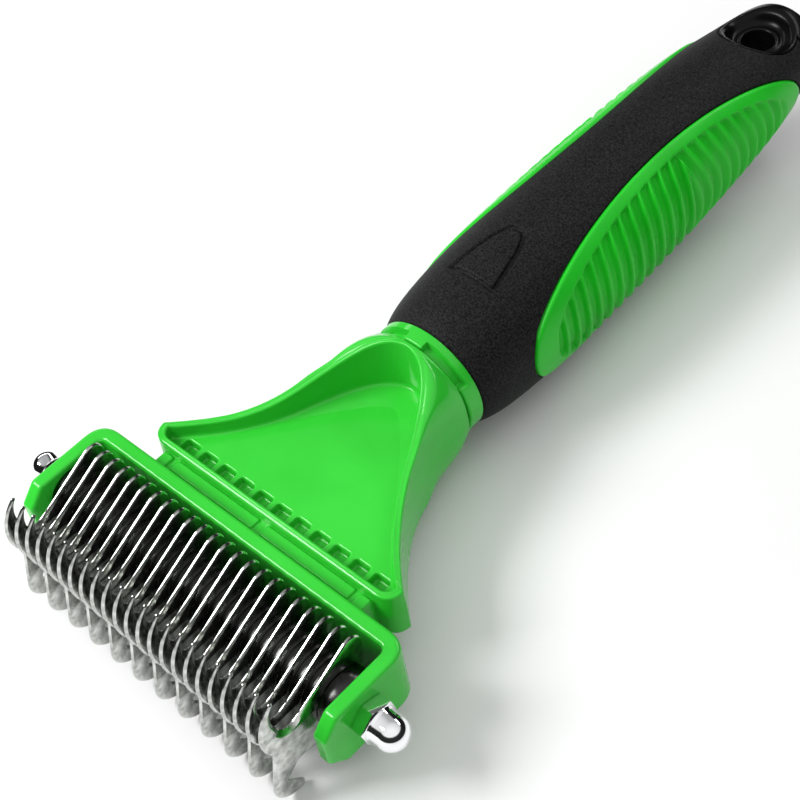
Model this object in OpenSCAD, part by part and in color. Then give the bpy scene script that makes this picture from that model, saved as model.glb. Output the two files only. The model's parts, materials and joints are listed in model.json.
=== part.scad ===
// Two-sided undercoat rake: a pack of hooked blades on a cross axle, a flared head and a soft handle.
// X runs along the axle, +Y towards the end of the handle, +Z up.
// The sub-parts are drawn about the axle's centre, and rest_on_floor() moves them to the part's own
// frame, whose origin is at the bottom centre of the whole tool.

/* [Blade pack] */
// Number of double-ended blades; one single-ended blade sits between each pair
double_blades = 12; // [8:1:12]
// Thickness of one blade
blade_t = 0.8; // [0.6:0.1:1.2]
// Thickness of one spacer between blades
spacer_t = 2; // [1.2:0.1:2.2]
// Outer diameter of the spacers
spacer_d = 12; // [9:0.5:13]
// Length of the bush between an outer blade and an arm
bush_len = 2.9; // [1.5:0.1:4]

/* [Axle and nuts] */
// Diameter of the axle
axle_d = 4; // [3:0.5:4.5]
// Width across the flats of the cap nuts
nut_flats = 7; // [6.5:0.1:8]
// Height of a cap nut's hexagon base
nut_base_h = 2.6; // [2:0.1:3]
// Whole height of a cap nut
nut_h = 8; // [7.5:0.1:9]
// Diameter of the cap nut's dome
nut_dome_d = 6.3; // [6:0.1:6.8]

/* [Bracket and rail] */
// Thickness of the bracket's arms
arm_t = 2.9; // [2.4:0.1:4]
// Height of the bracket
bracket_h = 13; // [11:0.5:14]
// Distance from the axle to the front of the arms
arm_reach = 9; // [8:0.5:11]
// Thickness of the crossbar
crossbar_t = 2.9; // [2.4:0.1:4]
// Depth of the rail between the crossbar and the head
rail_depth = 3.5; // [3:0.1:5]
// Height of the rail
rail_h = 6; // [4:0.5:7]

/* [Head] */
// Width of the head at its base
head_w = 58; // [50:1:64]
// Length of the head from its base to the neck
head_len = 42.1; // [36:0.1:46]
// Thickness of the head at its base
head_t = 10.6; // [10:0.2:14]
// Thickness of the wall around the pockets
head_wall = 1.5; // [1.2:0.1:2.5]
// Thickness of the web between the upper and lower pocket
web_t = 4.6; // [3:0.2:6]
// Number of small square pockets along the base
base_pockets = 11; // [7:1:13]

/* [Handle] */
// Length from the axle to the end of the handle
handle_end = 164.2; // [160:0.2:168]
// Largest diameter of the handle
handle_d = 29.4; // [28:0.2:32]
// Angle by which the handle rises from the plane of the head
handle_tilt = 2.2; // [0:0.2:4]
// Number of grooves in each side grip
grip_grooves = 21; // [12:1:21]
// Radius of the hang hole
hang_hole_r = 3.1; // [2.5:0.1:3.6]

/* [Hidden] */
$fn = 96;
clearance = 0.05;                     // radial gap of every running or assembled fit
axle_r = axle_d / 2;
bore_r = axle_r + clearance;
pitch = blade_t + spacer_t;           // from one blade to the next
blade_count = 2 * double_blades - 1;
pack_half = (blade_count - 1) / 2 * pitch + blade_t / 2;
arm_in = pack_half + bush_len;        // inner face of an arm
arm_out = arm_in + arm_t;             // outer face of an arm
nut_thread_depth = nut_h - 2;         // blind hole of a cap nut
axle_half = arm_out + nut_thread_depth - 0.6;

// Blade outline: Y and Z about the axle
blade_front = -16.6;                  // foremost point of the lower tooth
blade_back = 6.2;
blade_low = -13.05;                   // lowest point of the lower tooth

// Bracket, rail and head along Y
bracket_in = 8;                       // inner face of the crossbar
bracket_out = bracket_in + crossbar_t;
head_y = bracket_out + rail_depth;    // base of the head
neck_r = 11;
shoulder_r = 12;                      // half width of the head where it meets the collar
neck_y = head_y + head_len;           // end of the neck, where the sleeve begins
collar_r = 11.7;
collar_len = 3.3;
corner_r = 3.4;                       // corners of the head's base

// Handle
spigot_r = 7.5;                       // neck spigot inside the handle core
spigot_len = 12;
core_r = 9.4;
hang_y = handle_end - 10.2;           // centre of the hang hole
hang_web = 12.4;                      // thickness of the lip around the hang hole
loop_r = 7.6;                         // the core shows within this radius of the hang hole
sleeve_end = 158;                     // end of the sleeve on the handle's flanks
grip_arc_r = 168;                     // arc of the grip's edge, seen from above
grip_mid_y = 114.5;
grip_edge = 7.1;                      // least distance of the grip's edge from the centre plane
grip_start = 68;                      // lower end of the grips, a parabola z * z / nose seen from the side
nose = 14;
grip_depth = 3;
grip_proud = 0.4;
seam = 0.04;                          // gap at the edge of an inlaid grip

// Part frame: origin at the bottom centre of the whole tool
end_flat_r = 4.6;                     // flat at the very end of the handle
mid_y = (handle_end * cos(handle_tilt) + end_flat_r * sin(handle_tilt) + blade_front) / 2;

function two_digits(i) = str(i < 10 ? "0" : "", i);
function double_name(i) = str("double_blade_", two_digits(i + 1));
function single_name(i) = str("single_blade_", two_digits(i + 1));

// ---------- shared functions and frames ----------

// Points of an arc about c, from angle a0 to a1
function arc(c, r, a0, a1, steps = 8) =
    [for (i = [0 : steps]) let (a = a0 + (a1 - a0) * i / steps) c + r * [cos(a), sin(a)]];

// Point at t on a cubic Bezier curve
function bezier(p, t) =
    pow(1 - t, 3) * p[0] + 3 * t * pow(1 - t, 2) * p[1] + 3 * t * t * (1 - t) * p[2] + pow(t, 3) * p[3];

function bezier_points(p, steps = 8) = [for (i = [1 : steps]) bezier(p, i / steps)];

module rest_on_floor() {
    translate([0, -mid_y, -blade_low]) children();
}

// The handle's own frame, tilted about the axle
module handle_frame() {
    rotate([handle_tilt, 0, 0]) children();
}

// Turns a profile about the Y axis: its x is the radius and its y lies along Y
module turned() {
    rotate([-90, 0, 0]) rotate_extrude() children();
}

// Cylinder along X, centred on the axle
module x_cylinder(r, length, x = 0) {
    translate([x, 0, 0]) rotate([0, 90, 0]) cylinder(r = r, h = length, center = true);
}

// Extrudes a Y-Z outline along X, centred on x
module side_plate(t, x = 0) {
    translate([x - t / 2, 0, 0]) rotate([90, 0, 90]) linear_extrude(t) children();
}

// ---------- blade pack ----------

edge_slope = 28;                      // fall of the blade's top edge towards the throat
lower_slope = 22.3;
heel_r = 2.3;                         // rear corners of the blade
throat_c = [-10.1, 5.95];
throat_r = 2.1;
front_c = [-7, 5.8];                  // arc of the blade's front edge
front_r = 9;

// Rear edge, top edge, throat and upper tooth, from the lower heel to the front
upper_outline = concat(
    arc([blade_back - heel_r, -8.3], heel_r, -90 - lower_slope, 0),
    arc([blade_back - heel_r, 8.3], heel_r, 0, 90 + edge_slope),
    arc(throat_c, throat_r, edge_slope - 90, -176, 10),
    arc([-6.9, 9], 6.1, 208, 148, 10),
    arc([-12.19, 12.68], 0.42, -40, 127, 8),
    arc(front_c, front_r, 129, 213, 14)
);

// Front of the lower tooth, its toe and the hollow behind it
lower_tooth_outline = concat(
    [[-14.6, -1.3]],
    arc([-12.1, -8.4], -12.1 - blade_front, 165, 250, 10),
    arc([-11.9, -12], 1.05, 250, 405, 12),
    arc([-12.6, -8.3], 0.8, -135, -260, 8),
    arc([-9.6, -8.9], 3.4, 150, 90 - lower_slope, 8)
);

// Rounded front where there is no lower tooth
plain_front_outline = arc([-9.9, -0.25], 4.5, 172, 270 - lower_slope, 8);

module blade(x, lower_tooth) {
    bevel = blade_t * 0.7;
    difference() {
        side_plate(blade_t, x)
            polygon(concat(upper_outline, lower_tooth ? lower_tooth_outline : plain_front_outline));
        x_cylinder(bore_r, 3 * blade_t, x);
        // ground bevel around the throat
        translate([x + blade_t / 2 - bevel, throat_c[0], throat_c[1]])
            rotate([0, 90, 0])
                cylinder(r1 = throat_r - 0.02, r2 = throat_r + 1, h = bevel + 0.01);
    }
}

module double_blade(i) {
    color("gainsboro") rest_on_floor() blade((2 * i - (blade_count - 1) / 2) * pitch, true);
}

module single_blade(i) {
    color("lightgray") rest_on_floor() blade((2 * i + 1 - (blade_count - 1) / 2) * pitch, false);
}

module spacer_ring(r, length, x) {
    difference() {
        x_cylinder(r, length, x);
        x_cylinder(bore_r, length + 1, x);
    }
}

module blade_spacers() {
    color("dimgray") rest_on_floor()
        for (i = [0 : blade_count - 2])
            spacer_ring(spacer_d / 2, spacer_t, (i + 0.5 - (blade_count - 1) / 2) * pitch);
}

module end_bush(side) {
    color("dimgray") rest_on_floor()
        spacer_ring(spacer_d / 2 - 0.5, bush_len, side * (pack_half + bush_len / 2));
}

module left_end_bush() end_bush(-1);

module right_end_bush() end_bush(1);

// ---------- axle and cap nuts ----------

module axle() {
    chamfer = 0.5;
    color("silver") rest_on_floor() {
        x_cylinder(axle_r, 2 * (axle_half - chamfer));
        for (side = [-1, 1])
            translate([side * (axle_half - chamfer), 0, 0])
                rotate([0, side * 90, 0])
                    cylinder(r1 = axle_r, r2 = axle_r - chamfer, h = chamfer);
    }
}

// Lays a nut drawn along +Z on the outer face of an arm
module on_arm(side) {
    rest_on_floor() translate([side * arm_out, 0, 0]) rotate([0, side * 90, 0]) children();
}

module nut_base(side) {
    corner = nut_flats / sqrt(3);
    nut_turn = 12;                    // turn of the hexagon as tightened
    color("silver") on_arm(side)
        rotate([0, 0, side * nut_turn]) difference() {
            intersection() {
                cylinder(r = corner, h = nut_base_h, $fn = 6);
                // turned chamfer on the corners
                cylinder(r1 = corner + nut_base_h - 0.3, r2 = corner - 0.3, h = nut_base_h);
            }
            translate([0, 0, -1]) cylinder(r = bore_r, h = nut_base_h + 2);
        }
}

module nut_dome(side) {
    r = nut_dome_d / 2;
    straight = nut_h - nut_base_h - r;
    color("silver") on_arm(side)
        translate([0, 0, nut_base_h])
            difference() {
                rotate_extrude()
                    polygon(concat([[0, 0], [r, 0]], arc([0, straight], r, 0, 90, 24)));
                translate([0, 0, -1]) cylinder(r = bore_r, h = nut_thread_depth - nut_base_h + 1);
            }
}

module left_nut_base() nut_base(-1);

module right_nut_base() nut_base(1);

module left_nut_dome() nut_dome(-1);

module right_nut_dome() nut_dome(1);

// ---------- bracket and rail ----------

// Rectangle from y0 to y1 with its two rear corners rounded
module rear_rounded(half_w, y0, y1, r) {
    polygon(concat(
        [[-half_w, y0], [half_w, y0]],
        arc([half_w - r, y1 - r], r, 0, 90),
        arc([-half_w + r, y1 - r], r, 90, 180)
    ));
}

module bracket() {
    tip = 3.2;                        // chamfer of the arm tips
    half_h = bracket_h / 2;
    color("limegreen") rest_on_floor()
        difference() {
            translate([0, 0, -half_h])
                linear_extrude(bracket_h) rear_rounded(arm_out, -arm_reach, bracket_out, 4);
            translate([0, 0, -half_h - 1])
                linear_extrude(bracket_h + 2) rear_rounded(arm_in, -arm_reach - 1, bracket_in, 1.5);
            x_cylinder(bore_r, 3 * arm_out);
            for (m = [0, 1]) mirror([0, 0, m])
                side_plate(3 * arm_out)
                    polygon([
                        [-arm_reach - 1, half_h - tip - 1], [-arm_reach, half_h - tip],
                        [-arm_reach + tip, half_h], [-arm_reach + tip + 1, half_h + 1],
                        [-arm_reach - 1, half_h + 1]
                    ]);
        }
}

module connecting_rail() {
    half_w = 25;
    pad_in = 1;
    pad_out = 21.5;
    pad_h = 0.45;
    pad_from = bracket_out + 1;
    pad_len = rail_depth - 1.15;
    color("limegreen") rest_on_floor() {
        translate([-half_w, bracket_out, -rail_h / 2]) cube([2 * half_w, rail_depth, rail_h]);
        for (m = [0, 1], side = [-1, 1]) mirror([0, 0, m]) {
            translate([side * (pad_in + pad_out) / 2, pad_from + pad_len / 2, rail_h / 2 + pad_h / 2 - 0.01])
                cube([pad_out - pad_in, pad_len, pad_h], center = true);
            translate([side * (half_w - 1.2), bracket_out + rail_depth / 2, rail_h / 2 + 0.6 / 2 - 0.01])
                cube([2.4, rail_depth - 0.4, 0.6], center = true);
        }
    }
}

// ---------- head ----------

// Half width of the head at y: wide at the base and narrowing in a concave curve to the neck
flare_end = neck_y - 5.5;
flare_start = head_y + corner_r;
function flare(y) = pow((flare_end - y) / (flare_end - flare_start), 2.3);

function head_side(inset) =
    [for (i = [0 : 14]) let (y = flare_start + (flare_end - flare_start) * i / 14)
        [shoulder_r + (head_w / 2 - shoulder_r) * flare(y) - inset, y]];

function mirrored(points) = [for (i = [len(points) - 1 : -1 : 0]) [-points[i][0], points[i][1]]];

module head_outline() {
    right = concat(
        arc([head_w / 2 - corner_r, head_y + corner_r], corner_r, -90, -5, 6),
        head_side(0),
        [[shoulder_r, neck_y - 1]]
    );
    polygon(concat(right, mirrored(right)));
}

// Half thickness of the head's upper or lower side at y
rise_start = 25;
function swell(y) = y < rise_start ? 0 : pow((y - rise_start) / (neck_y - 4 - rise_start), 1.6);
upper_rise = 9.9;
lower_rise = 5;

module head_thickness() {
    steps = 12;
    last_y = neck_y - 1;
    top = [for (i = [0 : steps]) let (y = rise_start + (last_y - rise_start) * i / steps)
        [y, head_t / 2 + upper_rise * swell(y)]];
    bottom = [for (i = [steps : -1 : 0]) let (y = rise_start + (last_y - rise_start) * i / steps)
        [y, -head_t / 2 - lower_rise * swell(y)]];
    side_plate(2 * head_w)
        polygon(concat([[head_y, -head_t / 2], [head_y, head_t / 2]], top, bottom));
}

// Rounds the head into the round neck
module neck_envelope() {
    shoulder_y = neck_y - collar_len - 0.7;
    handle_frame() turned()
        polygon(concat(
            [[0, 0], [60, 0]],
            bezier_points([[60, 20], [26, 27], [16, 36], [14.2, 44]], 12),
            bezier_points([[14.2, 44], [13.9, 47], [13.6, shoulder_y - 2.4], [12.2, shoulder_y - 0.4]], 6),
            [[neck_r, shoulder_y], [neck_r, neck_y], [0, neck_y]]
        ));
}

// Outline of the pocket: it follows the sides of the head and ends in an arch before the neck
arch_base_y = 34;
arch_apex_y = 51.4;
module pocket_outline() {
    thicker = 0.6;                    // the wall gains this much towards the neck
    side = [for (p = head_side(head_wall)) if (p[1] < arch_base_y + 0.5)
        [p[0] - thicker * min(1, (p[1] - flare_start) / 26), p[1]]];
    start = side[len(side) - 1];
    before = side[len(side) - 2];
    lean = (start[0] - before[0]) / (start[1] - before[1]);
    // the arch leaves the side along its own slope and meets the middle almost square
    bow = bezier_points(
        [start, start + [6.5 * lean, 6.5], [7, arch_apex_y - 0.5], [0, arch_apex_y]], 12);
    right = concat(
        arc([head_w / 2 - corner_r, head_y + corner_r], corner_r - head_wall, -90, -5, 4),
        side,
        [for (i = [0 : len(bow) - 2]) bow[i]]
    );
    polygon(concat(right, [[0, arch_apex_y]], mirrored(right)));
}

// Pocket in the upper side, with the row of square pockets along its base
module upper_pocket() {
    cell_pitch = 4.57;
    cell_w = 3.4;
    cell_len = 2.9;
    translate([0, 0, web_t / 2]) linear_extrude(20) pocket_outline();
    for (i = [0 : base_pockets - 1])
        translate([(i - (base_pockets - 1) / 2) * cell_pitch - cell_w / 2, head_y + head_wall + 0.4, web_t / 2 - 1.6])
            cube([cell_w, cell_len, 3]);
}

module head_body() {
    color("limegreen") rest_on_floor() {
        difference() {
            union() {
                intersection() {
                    translate([0, 0, -30]) linear_extrude(60) head_outline();
                    head_thickness();
                    neck_envelope();
                }
                handle_frame()
                    translate([0, neck_y - 8, 0]) rotate([-90, 0, 0]) cylinder(r = neck_r, h = 8);
            }
            for (m = [0, 1]) mirror([0, 0, m]) upper_pocket();
        }
        handle_frame()
            translate([0, neck_y - 1, 0]) rotate([-90, 0, 0]) cylinder(r = spigot_r, h = spigot_len + 1);
    }
}

// Ring around the end of the neck, with two long slots on the upper and lower side
module neck_collar() {
    slot_from = 10;                   // angle from the middle tab to a slot
    slot_to = 62;
    slot_len = 1.5;
    slot_depth = 0.7;
    color("limegreen") rest_on_floor() handle_frame() {
        difference() {
            turned()
                polygon([
                    [neck_r + clearance, neck_y - collar_len], [collar_r - 0.3, neck_y - collar_len],
                    [collar_r, neck_y - collar_len + 0.3], [collar_r, neck_y],
                    [neck_r + clearance, neck_y]
                ]);
            for (side = [-1, 1], m = [0, 1]) mirror([0, 0, m])
                rotate([-90, 0, 0])
                    rotate([0, 0, side > 0 ? 270 + slot_from : 270 - slot_to])
                        translate([0, 0, neck_y - collar_len - 0.5])
                            rotate_extrude(angle = slot_to - slot_from)
                                translate([collar_r - slot_depth, 0]) square([2, slot_len + 0.5]);
        }
    }
}

// ---------- handle ----------

handle_r = handle_d / 2;

// Radius of the handle along its length
handle_curve = concat(
    [[collar_r - 0.1, neck_y]],
    bezier_points([[collar_r - 0.1, neck_y], [14, neck_y + 3], [handle_r, neck_y + 17], [handle_r, 86]], 9),
    bezier_points([[handle_r, 86], [handle_r, 106], [14, 122], [13.1, 138]], 8),
    bezier_points([[13.1, 138], [12.4, 147], [10.9, 154], [9.8, handle_end - 4.8]], 7),
    bezier_points([[9.8, handle_end - 4.8], [9.1, handle_end - 1.6], [8, handle_end], [end_flat_r, handle_end]], 6)
);

// Half thickness of the handle: round at first, flatter towards the hang hole
flat_curve = concat(
    [[neck_y, handle_r + 0.3], [106, handle_r + 0.3]],
    bezier_points([[106, handle_r + 0.3], [124, 14.2], [138, 11.8], [152, 9.1]], 8),
    bezier_points([[152, 9.1], [157, 8.5], [161, 7.9], [handle_end, 7.3]], 4)
);

// Solid of the whole handle, grown by an even amount
module handle_solid(grow = 0) {
    intersection() {
        turned()
            polygon(concat(
                [[0, neck_y]],
                [for (p = handle_curve) [p[0] + grow, p[1]]],
                [[0, handle_end]]
            ));
        side_plate(4 * handle_r)
            polygon(concat(
                [for (p = flat_curve) [p[0], p[1] + grow]],
                [for (i = [len(flat_curve) - 1 : -1 : 0]) [flat_curve[i][0], -flat_curve[i][1] - grow]]
            ));
    }
}

// Region of a side grip seen from above; inset leaves a border
module grip_region(side, inset = 0) {
    intersection() {
        translate([side * (grip_edge + grip_arc_r), grip_mid_y, -30])
            cylinder(r = grip_arc_r - inset, h = 60, $fn = 360);
        side_plate(60)
            polygon(concat(
                [for (z = [-16 : 1 : 16]) [grip_start + inset + z * z / nose, z]],
                [[200, 16], [200, -16]]
            ));
    }
}

module grip_grooves(side) {
    groove_pitch = 3.1;
    groove_r = 1.1;
    border = 2.6;
    first_y = grip_mid_y - 1.5 - (grip_grooves - 1) / 2 * groove_pitch;
    intersection() {
        grip_region(side, border);
        turned()
            for (i = [0 : grip_grooves - 1]) {
                y = first_y + i * groove_pitch;
                translate([radius_at(y) + grip_proud + 0.2, y]) circle(r = groove_r, $fn = 24);
            }
    }
}

// Radius of the handle at y, read from its curve
function radius_at(y) = lookup(y, [for (p = handle_curve) [p[1], p[0]]]);

module side_grip(side) {
    color("forestgreen") rest_on_floor() handle_frame()
        difference() {
            intersection() {
                handle_solid(grip_proud);
                grip_region(side, seam);
            }
            handle_solid(-grip_depth + seam);
            grip_grooves(side);
        }
}

module left_grip() side_grip(-1);

module right_grip() side_grip(1);

// Arch outline engraved on top of the handle as a thumb mark
arch_y = 68.8;
arch_len = 13.7;
arch_half_w = 5.3;
arch_line = 0.9;

module arch_shape(inset) {
    steps = 16;
    length = arch_len - 2 * inset;
    right = [for (i = [0 : steps]) let (t = 1 - pow(1 - i / steps, 2))
        [(arch_half_w - inset) * pow(1 - t, 0.37), arch_y + inset + length * t]];
    polygon(concat(right, mirrored([for (i = [0 : steps - 1]) right[i]])));
}

module arch_groove() {
    depth = 0.5;
    difference() {
        intersection() {
            handle_solid(1);
            linear_extrude(40) difference() {
                arch_shape(0);
                arch_shape(arch_line);
            }
        }
        handle_solid(-depth);
    }
}

// Dish around one mouth of the hang hole, with a raised lip at the hole
module hang_dish() {
    lip_z = hang_web / 2;
    pit_z = lip_z - 1.3;
    lip_r = hang_hole_r + 1.4;
    rim_r = loop_r - 0.8;
    translate([0, hang_y, 0])
        rotate_extrude()
            polygon(concat(
                [[0, lip_z], [hang_hole_r + 0.5, lip_z]],
                bezier_points([[hang_hole_r + 0.5, lip_z], [lip_r, lip_z], [lip_r, pit_z], [lip_r + 0.7, pit_z]], 6),
                bezier_points([[lip_r + 0.7, pit_z], [rim_r - 0.6, pit_z], [rim_r - 0.3, 7], [rim_r, 12]], 8),
                [[rim_r, 16], [0, 16]]
            ));
}

// End of the handle where the core shows: around the hang hole and beyond the sleeve
module loop_region(grow = 0) {
    translate([0, hang_y, 0]) cylinder(r = loop_r + grow, h = 60, center = true);
    translate([-30, sleeve_end - grow, -30]) cube([60, 30, 60]);
}

// Core inside the sleeve; grow gives the sleeve's cavity
module core_rod(grow = 0) {
    straight_end = 118;
    waist_r = 6;
    turned()
        polygon([
            [0, neck_y - grow], [core_r + grow, neck_y - grow], [core_r + grow, straight_end],
            [waist_r + grow, hang_y - loop_r + 1], [waist_r + grow, hang_y], [0, hang_y]
        ]);
}

// Hard core of the handle, from the neck's socket to the loop at its end
module handle_core() {
    color("#141416") rest_on_floor() handle_frame()
        difference() {
            union() {
                core_rod();
                intersection() {
                    handle_solid();
                    loop_region();
                }
            }
            for (m = [0, 1]) mirror([0, 0, m]) hang_dish();
            translate([0, hang_y, 0]) cylinder(r = hang_hole_r, h = 60, center = true);
            translate([0, neck_y - 1, 0])
                rotate([-90, 0, 0]) cylinder(r = spigot_r + clearance, h = spigot_len + 1 + clearance);
        }
}

module handle_sleeve() {
    color("#303032") rest_on_floor() handle_frame()
        difference() {
            handle_solid();
            for (side = [-1, 1])
                intersection() {
                    grip_region(side);
                    difference() {
                        handle_solid(2);
                        handle_solid(-grip_depth);
                    }
                }
            core_rod(clearance);
            loop_region(seam);
            arch_groove();
        }
}

// ---------- what is drawn ----------

bracket();
connecting_rail();
head_body();
neck_collar();
handle_core();
handle_sleeve();
left_grip();
right_grip();
axle();
blade_spacers();
left_end_bush();
right_end_bush();
left_nut_base();
left_nut_dome();
right_nut_base();
right_nut_dome();
for (i = [0 : double_blades - 1])
    double_blade(i);
for (i = [0 : double_blades - 2])
    single_blade(i);
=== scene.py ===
"""Looks of the undercoat rake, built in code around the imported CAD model.

Shapes are worked out in millimetres about the centre of the axle, with X along the axle, Y towards the
end of the handle and Z up. to_frame() brings them to metres in the shared frame.
"""

import json
import math

import bmesh
import bpy
import numpy as np
from mathutils import Matrix, Vector
from mathutils.geometry import tessellate_polygon


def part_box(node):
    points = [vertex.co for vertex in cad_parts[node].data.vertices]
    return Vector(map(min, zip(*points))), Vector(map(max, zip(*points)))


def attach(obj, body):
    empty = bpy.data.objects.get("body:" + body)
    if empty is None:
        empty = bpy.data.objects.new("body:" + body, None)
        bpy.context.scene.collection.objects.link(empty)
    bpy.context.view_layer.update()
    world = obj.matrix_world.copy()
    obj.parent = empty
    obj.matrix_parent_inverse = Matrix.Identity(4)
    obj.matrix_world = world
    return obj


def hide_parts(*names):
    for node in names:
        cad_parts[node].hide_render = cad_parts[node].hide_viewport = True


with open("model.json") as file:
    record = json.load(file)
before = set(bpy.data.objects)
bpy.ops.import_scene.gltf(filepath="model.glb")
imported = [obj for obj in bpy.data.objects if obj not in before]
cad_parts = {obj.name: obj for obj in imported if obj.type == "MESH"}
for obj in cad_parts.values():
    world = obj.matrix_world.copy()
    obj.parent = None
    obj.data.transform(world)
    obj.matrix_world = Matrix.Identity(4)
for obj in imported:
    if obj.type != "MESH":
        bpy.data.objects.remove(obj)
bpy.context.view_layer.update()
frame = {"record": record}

# ---------- frame ----------
MM = 0.001
AXLE = (np.array(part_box("axle")[0]) + np.array(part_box("axle")[1])) / 2
TILT = math.radians(2.2)                  # rise of the handle from the plane of the head


def to_frame(points):
    return np.asarray(points, float) * MM + AXLE


def node_mm(name):
    """Lowest and highest corner of a CAD node, in millimetres about the axle's centre."""
    low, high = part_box(name)
    return (np.array(low) - AXLE) / MM, (np.array(high) - AXLE) / MM


def from_handle(points):
    """Points in the handle's tilted frame, brought to the axle's frame."""
    p = np.asarray(points, float)
    c, s = math.cos(TILT), math.sin(TILT)
    return np.stack([p[..., 0], c * p[..., 1] - s * p[..., 2], s * p[..., 1] + c * p[..., 2]], -1)


def to_handle(points):
    """Points in the axle's frame, brought to the handle's tilted frame."""
    p = np.asarray(points, float)
    c, s = math.cos(TILT), math.sin(TILT)
    return np.stack([p[..., 0], c * p[..., 1] + s * p[..., 2], -s * p[..., 1] + c * p[..., 2]], -1)


# ---------- camera ----------
LENS, SENSOR = 76.4, 36
CAMERA_AIM = (-1.99, 49.324, 0)           # the point it looks at, on the middle plane of the head
CAMERA_DISTANCE = 300.841
CAMERA_AZIMUTH = math.radians(-38.782)
CAMERA_ELEVATION = math.radians(49.47)
CAMERA_ROLL = math.radians(-11.055)


def add_camera():
    cam = bpy.data.cameras.new("camera")
    cam.sensor_width = SENSOR
    cam.lens = LENS
    cam.clip_start = 0.01
    obj = bpy.data.objects.new("camera", cam)
    bpy.context.scene.collection.objects.link(obj)
    round_the_aim = Matrix.Rotation(CAMERA_AZIMUTH + math.pi / 2, 4, "Z")
    raised = Matrix.Rotation(math.pi / 2 - CAMERA_ELEVATION, 4, "X")
    rolled = Matrix.Rotation(CAMERA_ROLL, 4, "Z")
    aim = Matrix.Translation(to_frame(CAMERA_AIM))
    back = Matrix.Translation((0, 0, CAMERA_DISTANCE * MM))
    obj.matrix_world = aim @ round_the_aim @ raised @ rolled @ back
    bpy.context.scene.camera = obj


# ---------- light and floor ----------
LIGHT_AIM = Vector((0, 0, 0.01))


def add_area(name, where, size, power, glossy=True):
    light = bpy.data.lights.new(name, "AREA")
    light.shape = "RECTANGLE"
    light.size, light.size_y = size
    light.energy = power
    obj = bpy.data.objects.new(name, light)
    bpy.context.scene.collection.objects.link(obj)
    obj.location = where
    obj.rotation_euler = (LIGHT_AIM - Vector(where)).to_track_quat("-Z", "Y").to_euler()
    obj.visible_glossy = glossy


def add_bands(nodes, links, source, socket, stops):
    """Grey levels of the surroundings along one value."""
    bands = nodes.new("ShaderNodeValToRGB")
    for k, (height, level) in enumerate(stops):
        element = bands.color_ramp.elements.new(height) if k > 1 else bands.color_ramp.elements[k]
        element.position = height
        element.color = (level, level, level, 1)
    links.new(source.outputs[socket], bands.inputs[0])
    return bands


def add_world():
    """Surroundings that are dark below the horizon and pale above it, and paler on the near side."""
    world = bpy.data.worlds.new("world")
    world.use_nodes = True
    nodes, links = world.node_tree.nodes, world.node_tree.links
    coord = nodes.new("ShaderNodeTexCoord")
    split = nodes.new("ShaderNodeSeparateXYZ")
    links.new(coord.outputs["Generated"], split.inputs[0])
    heights = ((0, 0.3), (0.06, 0.02), (0.5, 0.03), (0.6, 0.95), (1, 1))
    by_height = add_bands(nodes, links, split, "Z", heights)
    side = nodes.new("ShaderNodeVectorMath")
    side.operation = "DOT_PRODUCT"
    side.inputs[1].default_value = (0.6, -0.55, 0.58)
    links.new(coord.outputs["Generated"], side.inputs[0])
    by_side = add_bands(nodes, links, side, "Value", ((0, 0.45), (0.3, 0.75), (0.8, 1)))
    links.new(by_height.outputs[0], nodes["Background"].inputs["Color"])
    links.new(by_side.outputs[0], nodes["Background"].inputs["Strength"])
    bpy.context.scene.world = world


def add_studio():
    add_area("key_light", (-0.33, -0.38, 0.47), (0.27, 0.27), 4.3)
    add_area("fill_light", (0.55, -0.35, 0.45), (0.25, 0.25), 0.5, False)
    add_area("rim_light", (0.05, 0.6, 0.5), (0.5, 0.1), 1.1)
    add_area("side_light", (-0.53, 0.13, 0.26), (0.5, 0.06), 0.4)
    add_world()


def add_floor():
    half = 1.6
    corners = [(-half, -half, 0), (half, -half, 0), (half, half, 0), (-half, half, 0)]
    mesh = bpy.data.meshes.new("floor")
    mesh.from_pydata(corners, [], [(0, 1, 2, 3)])
    mesh.materials.append(new_material("floor_paper", (0.8, 0.8, 0.8), 0.9))
    floor = bpy.data.objects.new("floor", mesh)
    bpy.context.scene.collection.objects.link(floor)


# ---------- materials ----------
GREEN_SCATTER = (0.4, 1.0, 0.3)           # how far red, green and blue light spread under the skin


def new_material(name, color, roughness, metallic=0.0, **sockets):
    material = bpy.data.materials.new(name)
    material.use_nodes = True
    inputs = shader_of(material).inputs
    inputs["Base Color"].default_value = (*color, 1)
    inputs["Roughness"].default_value = roughness
    inputs["Metallic"].default_value = metallic
    for socket, value in sockets.items():
        inputs[socket.replace("_", " ")].default_value = value
    return material


def shader_of(material):
    return material.node_tree.nodes["Principled BSDF"]


def add_node(material, kind):
    return material.node_tree.nodes.new(kind)


def link(material, a, a_socket, b, b_socket):
    material.node_tree.links.new(a.outputs[a_socket], b.inputs[b_socket])


def position(material, scale=(1, 1, 1)):
    """Object coordinates, stretched by scale."""
    coord = add_node(material, "ShaderNodeTexCoord")
    mapping = add_node(material, "ShaderNodeMapping")
    mapping.inputs["Scale"].default_value = scale
    link(material, coord, "Object", mapping, "Vector")
    return mapping


def noise(material, where, scale, detail):
    node = add_node(material, "ShaderNodeTexNoise")
    node.inputs["Scale"].default_value = scale
    node.inputs["Detail"].default_value = detail
    link(material, where, "Vector", node, "Vector")
    return node


def ramp(material, source, low, high):
    """Colour that goes from one to the other along a noise; low and high are (value, colour)."""
    node = add_node(material, "ShaderNodeValToRGB")
    for element, (where, color) in zip(node.color_ramp.elements, (low, high)):
        element.position = where
        element.color = (*color, 1)
    link(material, source, "Fac", node, "Fac")
    return node


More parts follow.
